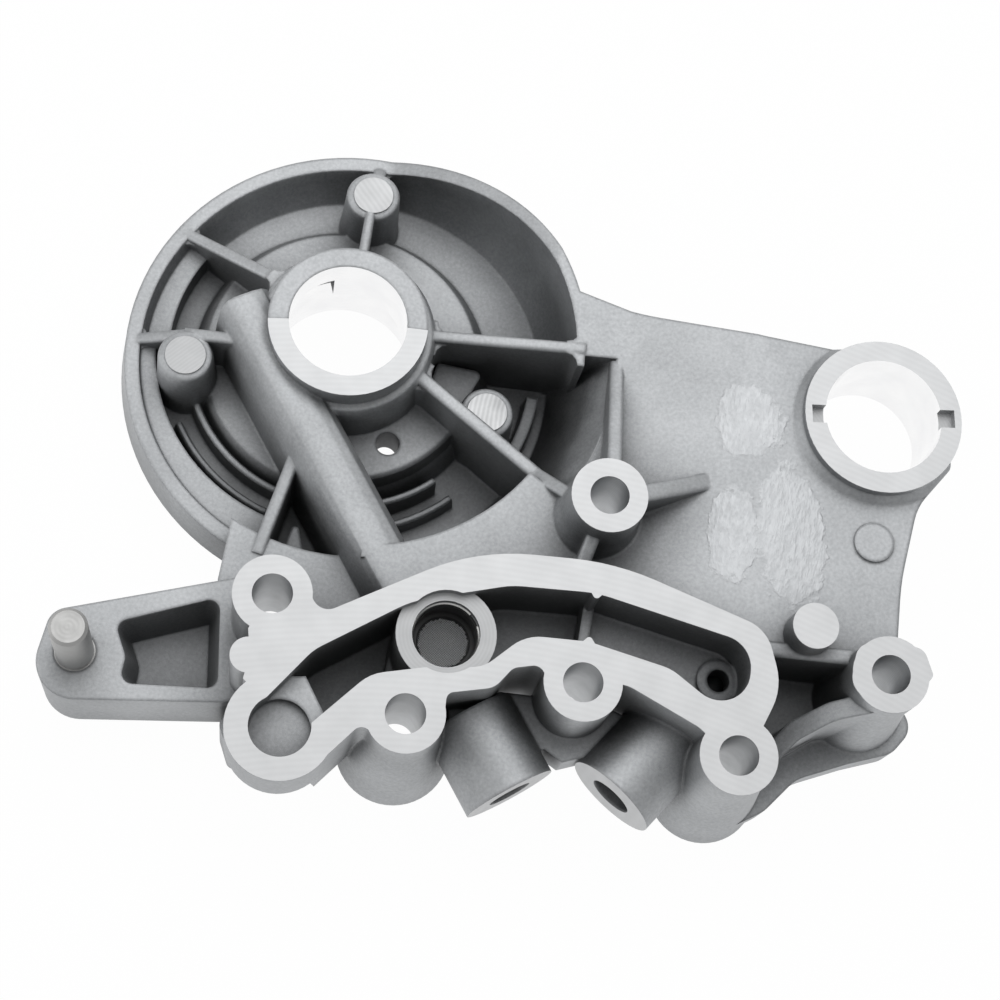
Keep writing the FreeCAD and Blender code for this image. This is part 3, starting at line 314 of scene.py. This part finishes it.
def machined_aluminium(name, hex_low, hex_high, roughness, pattern, centre, pitch, wobble, depth):
    material, tree = new_material(name)
    place = add_node(tree, "ShaderNodeTexCoord").outputs["Object"]
    moved = add_node(tree, "ShaderNodeMapping", {"Location": [-part for part in centre]},
                     {"Vector": place})
    marks = add_node(tree, "ShaderNodeTexWave",
                     {"Scale": WAVE_PERIOD / pitch, "Distortion": wobble, "Detail": 2.0,
                      "Detail Scale": 1.5, **pattern},
                     {"Vector": moved.outputs[0]})
    stain = add_node(tree, "ShaderNodeTexNoise", {"Scale": 1 / STAIN_SIZE, "Detail": 3.0},
                     {"Vector": place})
    tone = add_node(tree, "ShaderNodeMath", {"operation": "MULTIPLY_ADD", 1: MARK_SHARE},
                    {0: marks.outputs["Fac"], 2: stain.outputs["Fac"]})
    colour = add_node(tree, "ShaderNodeValToRGB",
                      {"stops": [(0.35, linear(hex_low)), (0.85, linear(hex_high))]},
                      {"Fac": tone.outputs[0]})
    bump = add_node(tree, "ShaderNodeBump", {"Strength": depth, "Distance": MARK_HEIGHT},
                    {"Height": marks.outputs["Fac"]})
    shader = add_node(tree, "ShaderNodeBsdfPrincipled", {"Metallic": 1.0, "Roughness": roughness},
                      {"Base Color": colour.outputs["Color"], "Normal": bump.outputs["Normal"]})
    add_node(tree, "ShaderNodeOutputMaterial", links={"Surface": shader.outputs[0]})
    return material


print("a wave with marks 1 mm apart has the scale", round(WAVE_PERIOD / MM, 1))

# %% Six ways to cut aluminium
RINGS_Z = {"wave_type": "RINGS", "rings_direction": "Z"}
BANDS_Z = {"wave_type": "BANDS", "bands_direction": "Z"}
BANDS_DIAGONAL = {"wave_type": "BANDS", "bands_direction": "DIAGONAL"}
ORIGIN = (0.0, 0.0, 0.0)
FACE_MILL_AXIS = (60.0 * MM, -300.0 * MM, 0.0)
BOSS_MILL_AXIS = (65.5 * MM, -11.6 * MM, 0.0)
STRAINER_AXIS = (35.8 * MM, -73.4 * MM, 0.0)
BORING_PITCH = 0.9 * MM

milled = machined_aluminium("face_milled_aluminium", "#c3c4c5", "#cbcccd", 0.58, RINGS_Z,
                            FACE_MILL_AXIS, pitch=1.4 * MM, wobble=0.4, depth=0.02)
bored = machined_aluminium("bored_aluminium", "#f2f2f3", "#fafafa", 0.14, BANDS_Z,
                           ORIGIN, pitch=BORING_PITCH, wobble=0.0, depth=0.05)
drilled = machined_aluminium("drilled_aluminium", "#9fa1a3", "#bcbec0", 0.38, BANDS_Z,
                             ORIGIN, pitch=BORING_PITCH, wobble=0.6, depth=0.25)
wavy = machined_aluminium("wavy_milled_aluminium", "#9fa0a1", "#c6c7c8", 0.55, RINGS_Z,
                          BOSS_MILL_AXIS, pitch=1.1 * MM, wobble=1.2, depth=1.0)
belt_ground = machined_aluminium("ground_aluminium", "#b3b4b5", "#c3c4c5", 0.58, BANDS_DIAGONAL,
                                 ORIGIN, pitch=0.9 * MM, wobble=1.2, depth=0.25)
spot_faced = machined_aluminium("spot_faced_aluminium", "#aeafb0", "#babbbc", 0.6, RINGS_Z,
                                STRAINER_AXIS, pitch=0.8 * MM, wobble=0.6, depth=0.1)
machined = (milled, bored, drilled, wavy, belt_ground, spot_faced)
print("machined finishes:", [finish.name for finish in machined])

# %% [markdown]
# ## One casting, several finishes
# The CAD mesh arrives as loose triangles, and loose triangles can't be shaded smoothly. A copy of
# it is merged into one skin and smoothed up to an angle of 30 degrees, so bores look round and
# machined edges stay crisp. The copy then stands for the CAD node, in exactly its place.

# %% Merge a copy of a CAD node
SMOOTH_LIMIT = math.radians(30)
MERGE_DISTANCE = 0.002 * MM


def merged_copy(node_name, piece_name):
    bpy.ops.object.select_all(action="DESELECT")
    nodes[node_name].select_set(True)
    bpy.context.view_layer.objects.active = nodes[node_name]
    bpy.ops.object.duplicate()
    piece = bpy.context.object
    piece.name = piece_name
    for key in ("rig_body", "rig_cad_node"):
        del piece[key]
    piece.parent = None
    bpy.ops.object.mode_set(mode="EDIT")
    bpy.ops.mesh.select_all(action="SELECT")
    bpy.ops.mesh.remove_doubles(threshold=MERGE_DISTANCE)
    bpy.ops.object.mode_set(mode="OBJECT")
    bpy.ops.mesh.customdata_custom_splitnormals_clear()
    bpy.ops.object.shade_smooth_by_angle(angle=SMOOTH_LIMIT, keep_sharp_edges=False)
    piece.data.materials.clear()
    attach(piece, "root")
    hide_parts(node_name)
    print(piece_name, "has", len(piece.data.vertices), "vertices and", len(piece.data.polygons), "faces")
    return piece


casting = merged_copy("bridge_casting", "bridge_casting_skin")

# %% [markdown]
# Which metal a face shows depends on where the tools went. A face belongs to the mill if it looks up
# and lies exactly at a milled height, and to the boring bar if it stands upright at the radius of a
# bore. Painting the faces by hand would be lost at the next change of the model, so the rules are
# written down. The places, heights and radii are the CAD model's own, in millimetres.

# %% Places and heights that the tools reached
INTAKE = Vector((0.0, 0.0))
EXHAUST = Vector((127.7, 0.0))
BORE_RADIUS = 14.0
RELIEF_RADIUS = 17.5
# The face of a bearing ring ends 18.9 from its axis, and half a millimetre is to spare
RING_REACH = 19.4
BORED = [(INTAKE, BORE_RADIUS), (EXHAUST, BORE_RADIUS), (INTAKE, RELIEF_RADIUS)]
HEAD_FACE_Z = 14.0
INTAKE_FACE_Z = 0.0
EXHAUST_FACE_Z = 9.5
STRAINER_SHELF_Z = 11.6
BOSS_TOP_Z = -10.4
BOSSES = {"belt_ground": Vector((-0.67, 38.49)), "spot_faced": Vector((-36.29, -12.85)),
          "wavy": Vector((36.72, -11.58))}
BOLT_RADIUS = 4.5
BOLTS = [Vector(place) for place in ((-3.3, -72.8), (30.2, -93.3), (67.2, -78.7), (103.7, -88.0),
                                     (135.3, -63.0), (66.3, -34.7))]
PORT_BOSS_RADIUS = 10.8
PORT_MOUTHS = [Vector((57.4, -101.9)), Vector((80.1, -98.0))]
# The two notches of the exhaust ring run from just outside its bore outwards
NOTCH_WALLS = (14.3, 17.3)
NOTCH_FLOOR_Z = 5.2
print("bolt holes:", len(BOLTS), "bores:", len(BORED), "ports:", len(PORT_MOUTHS))

# %% Sort the faces of the casting by the tool that made them
FACES_HEAD = 0.99
UPRIGHT = 0.05
SAME_HEIGHT = 0.05
SAME_RADIUS = 0.25
SAME_PLANE = 0.1


def tool_on_a_flat(flat, height):
    # A face that looks to the head was cut if it lies at a height where a tool worked
    def at(level):
        return abs(height - level) < SAME_HEIGHT

    if at(HEAD_FACE_Z):
        return "milled"
    if at(EXHAUST_FACE_Z) and (flat - EXHAUST).length < RING_REACH:
        return "milled"
    if at(INTAKE_FACE_Z) and (flat - INTAKE).length < RING_REACH:
        return "milled"
    if at(STRAINER_SHELF_Z):
        return "spot_faced"
    if at(BOSS_TOP_Z):
        return min(BOSSES, key=lambda tool: (flat - BOSSES[tool]).length)
    return None


def tool_in_a_hole(flat, across):
    # An upright face was cut if it lies in the mouth of a port or at the radius of a bore or drill
    for mouth in PORT_MOUTHS:
        if (flat - mouth).length < PORT_BOSS_RADIUS and abs((flat - mouth).dot(across)) < SAME_PLANE:
            return "milled"
    for axis, radius in BORED:
        if abs((flat - axis).length - radius) < SAME_RADIUS:
            return "bored"
    for axis in BOLTS:
        if abs((flat - axis).length - BOLT_RADIUS) < SAME_RADIUS:
            return "drilled"
    return None


def tool_of(centre, normal):
    flat = centre.xy
    tool = tool_on_a_flat(flat, centre.z) if normal.z > FACES_HEAD else None
    inner, outer = NOTCH_WALLS
    if tool is None and inner < (flat - EXHAUST).length < outer and centre.z > NOTCH_FLOOR_Z:
        tool = "spot_faced"
    if tool is None and abs(normal.z) < UPRIGHT:
        tool = tool_in_a_hole(flat, normal.xy)
    return tool or "cast"


finishes = {"cast": cast, "milled": milled, "bored": bored, "drilled": drilled, "wavy": wavy,
            "belt_ground": belt_ground, "spot_faced": spot_faced}
order = list(finishes)
for finish in finishes.values():
    casting.data.materials.append(finish)
counts = dict.fromkeys(order, 0)
for face in casting.data.polygons:
    tool = tool_of(face.center / MM, face.normal)
    face.material_index = order.index(tool)
    counts[tool] += 1
print("faces per finish:", counts)

# %% [markdown]
# ## Small steel pieces
# The pivot pin is turned steel: its side has even turning rings, and its end the spiral of a facing
# cut. Rings round the axis and bands along it are two Wave textures, and their sum makes the bump.
# The spring ring and the balls are smooth bright steel, so their bump is off and only the roughness
# is low. The marks of the pin are about four times as far apart as real ones, so that they show.

# %% Turned steel
PIN_AXIS = (-44.5 * MM, -89.0 * MM, 0.0)
TURNING_PITCH = 1.0 * MM
WIRE_PITCH = 0.5 * MM
WEAR_SIZE = 3.0 * MM


def turned_steel(name, hex_colour, roughness, centre, pitch, depth):
    material, tree = new_material(name)
    place = add_node(tree, "ShaderNodeTexCoord").outputs["Object"]
    moved = add_node(tree, "ShaderNodeMapping", {"Location": [-part for part in centre]},
                     {"Vector": place})
    rings = add_node(tree, "ShaderNodeTexWave",
                     {"Scale": WAVE_PERIOD / pitch, "Distortion": 0.5, "Detail": 1.0, **RINGS_Z},
                     {"Vector": moved.outputs[0]})
    bands = add_node(tree, "ShaderNodeTexWave",
                     {"Scale": WAVE_PERIOD / pitch, "Distortion": 0.2, **BANDS_Z},
                     {"Vector": moved.outputs[0]})
    marks = add_node(tree, "ShaderNodeMath", {"operation": "ADD"},
                     {0: rings.outputs["Fac"], 1: bands.outputs["Fac"]})
    bump = add_node(tree, "ShaderNodeBump", {"Strength": depth, "Distance": MARK_HEIGHT},
                    {"Height": marks.outputs[0]})
    wear = add_node(tree, "ShaderNodeTexNoise", {"Scale": 1 / WEAR_SIZE, "Detail": 3.0},
                    {"Vector": place})
    dull = add_node(tree, "ShaderNodeMapRange",
                    {"From Min": 0.3, "From Max": 0.7, "To Min": roughness - 0.05,
                     "To Max": roughness + 0.08},
                    {"Value": wear.outputs["Fac"]})
    shader = add_node(tree, "ShaderNodeBsdfPrincipled",
                      {"Base Color": linear(hex_colour), "Metallic": 1.0},
                      {"Roughness": dull.outputs["Result"], "Normal": bump.outputs["Normal"]})
    add_node(tree, "ShaderNodeOutputMaterial", links={"Surface": shader.outputs[0]})
    return material


steel_pin = turned_steel("turned_bearing_steel", "#b4b4b3", 0.52, PIN_AXIS, TURNING_PITCH, depth=0.6)
wire_steel = turned_steel("bright_spring_wire", "#dededc", 0.2, STRAINER_AXIS, TURNING_PITCH,
                          depth=0.0)
ball_steel = turned_steel("polished_ball_steel", "#c9c9ca", 0.14, ORIGIN, TURNING_PITCH, depth=0.0)
mesh_steel = turned_steel("woven_stainless_wire", "#eeeff0", 0.5, ORIGIN, WIRE_PITCH, depth=0.0)
print("steels:", [steel.name for steel in (steel_pin, wire_steel, ball_steel, mesh_steel)])

# %% [markdown]
# ## Moulded plastic
# The sleeve of the strainer is moulded nylon, black all through, with the fine grain of the mould.
# It is no metal, so its shine comes from the IOR of 1.53 and a middling roughness.

# %% Black nylon
MOULD_GRAIN_SIZE = 0.3 * MM
MOULD_GRAIN_HEIGHT = 0.02 * MM


def moulded_plastic():
    material, tree = new_material("moulded_black_nylon")
    place = add_node(tree, "ShaderNodeTexCoord").outputs["Object"]
    grain = add_node(tree, "ShaderNodeTexNoise", {"Scale": 1 / MOULD_GRAIN_SIZE, "Detail": 2.0},
                     {"Vector": place})
    bump = add_node(tree, "ShaderNodeBump", {"Strength": 0.2, "Distance": MOULD_GRAIN_HEIGHT},
                    {"Height": grain.outputs["Fac"]})
    shader = add_node(tree, "ShaderNodeBsdfPrincipled",
                      {"Base Color": linear("#0c0c0d"), "Roughness": 0.5, "IOR": 1.53},
                      {"Normal": bump.outputs["Normal"]})
    add_node(tree, "ShaderNodeOutputMaterial", links={"Surface": shader.outputs[0]})
    return material


nylon = moulded_plastic()
print("plastic:", nylon.name)

# %% [markdown]
# The small pieces keep the shape of their CAD nodes. Each gets a merged and smoothed copy, as the
# casting did, and one finish.

# %% Finish the pin, the sleeve, the ring and the balls
pin = merged_copy("rail_pivot_pin", "rail_pivot_pin_turned")
pin.data.materials.append(steel_pin)
cup = merged_copy("strainer_cup", "strainer_sleeve")
cup.data.materials.append(nylon)
ring = merged_copy("strainer_retaining_ring", "strainer_spring_ring")
ring.data.materials.append(wire_steel)
for node_name in ("intake_feed_ball", "exhaust_feed_ball"):
    ball = merged_copy(node_name, node_name + "_polished")
    ball.data.materials.append(ball_steel)

# %% [markdown]
# ## The woven mesh of the strainer
# Real strainer cloth is woven wire, over and under, laid at 45 degrees here. A flat disc with a
# pattern would look printed, so the weave is modelled: a grid is turned, every second crossing is
# lifted and the others are lowered, the corners outside the sleeve are deleted, and the Wireframe
# modifier turns each edge into a wire. The wires are about twice as far apart as real ones.

# %% Lay a turned grid
low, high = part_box("strainer_mesh")
mesh_centre = (low + high) / 2
mesh_radius = (high.x - low.x) / 2
WIRES = 38
GRID_WIDTH = 2.05 * mesh_radius

bpy.ops.object.select_all(action="DESELECT")
bpy.ops.mesh.primitive_grid_add(x_subdivisions=WIRES, y_subdivisions=WIRES, size=GRID_WIDTH,
                                location=mesh_centre, rotation=(0, 0, math.radians(45)))
weave = bpy.context.object
weave.name = "strainer_weave"
bpy.ops.object.transform_apply(location=True, rotation=True, scale=True)
print("wires", round(GRID_WIDTH / WIRES / MM, 2), "mm apart, over a disc", round(mesh_radius / MM, 1),
      "mm in radius")

# %% Lift and lower the crossings
WEAVE_LIFT = 0.045 * MM
EDGE_MARGIN = 0.05 * MM


def select_vertices(obj, wanted):
    bpy.ops.mesh.select_all(action="DESELECT")
    bpy.ops.object.mode_set(mode="OBJECT")
    for vertex in obj.data.vertices:
        vertex.select = wanted(vertex)
    bpy.ops.object.mode_set(mode="EDIT")


bpy.ops.object.mode_set(mode="EDIT")
bpy.ops.mesh.select_mode(type="VERT")
row = WIRES + 1
for parity, lift in ((0, WEAVE_LIFT), (1, -WEAVE_LIFT)):
    select_vertices(weave, lambda v: (v.index % row + v.index // row) % 2 == parity)
    bpy.ops.transform.translate(value=(0, 0, lift))
select_vertices(weave, lambda v: (v.co - mesh_centre).xy.length > mesh_radius - EDGE_MARGIN)
bpy.ops.mesh.delete(type="VERT")
bpy.ops.object.mode_set(mode="OBJECT")
print("crossings inside the sleeve:", len(weave.data.vertices))

# %% Turn the edges into wires
WIRE_THICKNESS = 0.17 * MM
wires = weave.modifiers.new("wires", "WIREFRAME")
wires.thickness = WIRE_THICKNESS
wires.use_even_offset = False
bpy.ops.object.modifier_apply(modifier="wires")
weave.data.materials.append(mesh_steel)
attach(weave, "root")
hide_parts("strainer_mesh")
print("weave faces:", len(weave.data.polygons))

# %% [markdown]
# ## Floor and light
# The photo is a soft product shot on white. A wide matt floor just under the drum catches the
# shadow. Lit hard enough to be white by itself, it would also light the part from below, so the
# Light Path node gives two answers instead: camera, glossy and transmission rays see a floor that
# shines plain white, and all others see a matt one.

# %% Floor
PART_MIDDLE = (40.0 * MM, -30.0 * MM, 0.0)
FLOOR_GAP = 0.5 * MM
FLOOR_SIZE = 6.0
WHITE_SHARE = 0.98

bpy.ops.object.select_all(action="DESELECT")
bpy.ops.mesh.primitive_plane_add(size=FLOOR_SIZE,
                                 location=(PART_MIDDLE[0], PART_MIDDLE[1], cad_box[0].z - FLOOR_GAP))
floor = bpy.context.object
floor.name = "floor"
floor_material, tree = new_material("white_floor")
seen = add_node(tree, "ShaderNodeLightPath")
direct = add_node(tree, "ShaderNodeMath", {"operation": "MAXIMUM"},
                  {0: seen.outputs["Is Camera Ray"], 1: seen.outputs["Is Glossy Ray"]})
direct = add_node(tree, "ShaderNodeMath", {"operation": "MAXIMUM"},
                  {0: direct.outputs[0], 1: seen.outputs["Is Transmission Ray"]})
share = add_node(tree, "ShaderNodeMath", {"operation": "MULTIPLY", 1: WHITE_SHARE},
                 {0: direct.outputs[0]})
matt = add_node(tree, "ShaderNodeBsdfDiffuse", {"Color": grey(0.8)})
white = add_node(tree, "ShaderNodeEmission", {"Color": grey(1.0), "Strength": 1.0})
both = add_node(tree, "ShaderNodeMixShader", links={0: share.outputs[0], 1: matt.outputs[0],
                                                    2: white.outputs[0]})
add_node(tree, "ShaderNodeOutputMaterial", links={"Surface": both.outputs[0]})
floor.data.materials.append(floor_material)
print("floor", round((cad_box[0].z - floor.location.z) / MM, 1), "mm under the drum")

# %% [markdown]
# A pale world fills the shadows from all round. The camera sees it plain white, but it lights the
# part at about half that, so the deep pockets of the drum stay dark. Two soft boxes do the rest: a
# big one above and beyond the part, which its flats reflect, and a weaker one on the left.

# %% World
FILL_LEVEL = 0.54

world = bpy.data.worlds.new("studio")
bpy.context.scene.world = world
world.use_nodes = True
tree = world.node_tree
tree.nodes.clear()
seen = add_node(tree, "ShaderNodeLightPath")
level = add_node(tree, "ShaderNodeMapRange", {"To Min": FILL_LEVEL, "To Max": 1.0},
                 {"Value": seen.outputs["Is Camera Ray"]})
sky = add_node(tree, "ShaderNodeBackground", {"Color": grey(1.0)}, {"Strength": level.outputs["Result"]})
add_node(tree, "ShaderNodeOutputWorld", links={"Surface": sky.outputs[0]})
print("world:", world.name, "with a fill of", FILL_LEVEL)


# %% Soft boxes
def soft_box(name, place, size, watts):
    bpy.ops.object.light_add(type="AREA", location=place)
    lamp = bpy.context.object
    lamp.name = name
    lamp.data.shape = "DISK"
    lamp.data.size = size
    lamp.data.energy = watts
    aim = Vector(PART_MIDDLE) - Vector(place)
    lamp.rotation_euler = aim.to_track_quat("-Z", "Y").to_euler()
    print(name, "is", round(aim.length, 2), "m away and has", watts, "W")


soft_box("soft_box_over", (0.05, 0.40, 0.80), size=0.9, watts=4.4)
soft_box("soft_box_left", (-0.75, -0.15, 0.45), size=0.5, watts=1.8)

# %% [markdown]
# ## Camera
# A round hole in the photo is seen as an ellipse, and its width, height and tilt say where the
# camera stood. The place, the two directions and the lens below were worked out from the ellipses
# of both bearing rings and the round bolt pads, with the bolt holes 9 mm wide.

# %% Camera at the photo's viewing angle
CAMERA_PLACE = (13.0 * MM, -195.9 * MM, 461.9 * MM)
CAMERA_RIGHT = (0.97777, 0.17044, 0.12212)
CAMERA_FORWARD = (0.06102, 0.32590, -0.94342)
LENS_MM = 76.18
SENSOR_WIDTH_MM = 36.0

camera_data = bpy.data.cameras.new("camera")
camera = bpy.data.objects.new("camera", camera_data)
bpy.context.scene.collection.objects.link(camera)
camera_data.sensor_width = SENSOR_WIDTH_MM
camera_data.lens = LENS_MM
right = Vector(CAMERA_RIGHT).normalized()
forward = Vector(CAMERA_FORWARD).normalized()
up = right.cross(forward)
turn = Matrix((right, up, -forward)).transposed().to_4x4()
camera.matrix_world = Matrix.Translation(CAMERA_PLACE) @ turn
bpy.context.scene.camera = camera
bpy.context.scene.view_settings.view_transform = "Standard"
print("camera tilted", round(math.degrees(math.acos(-forward.z)), 1), "degrees from straight down")
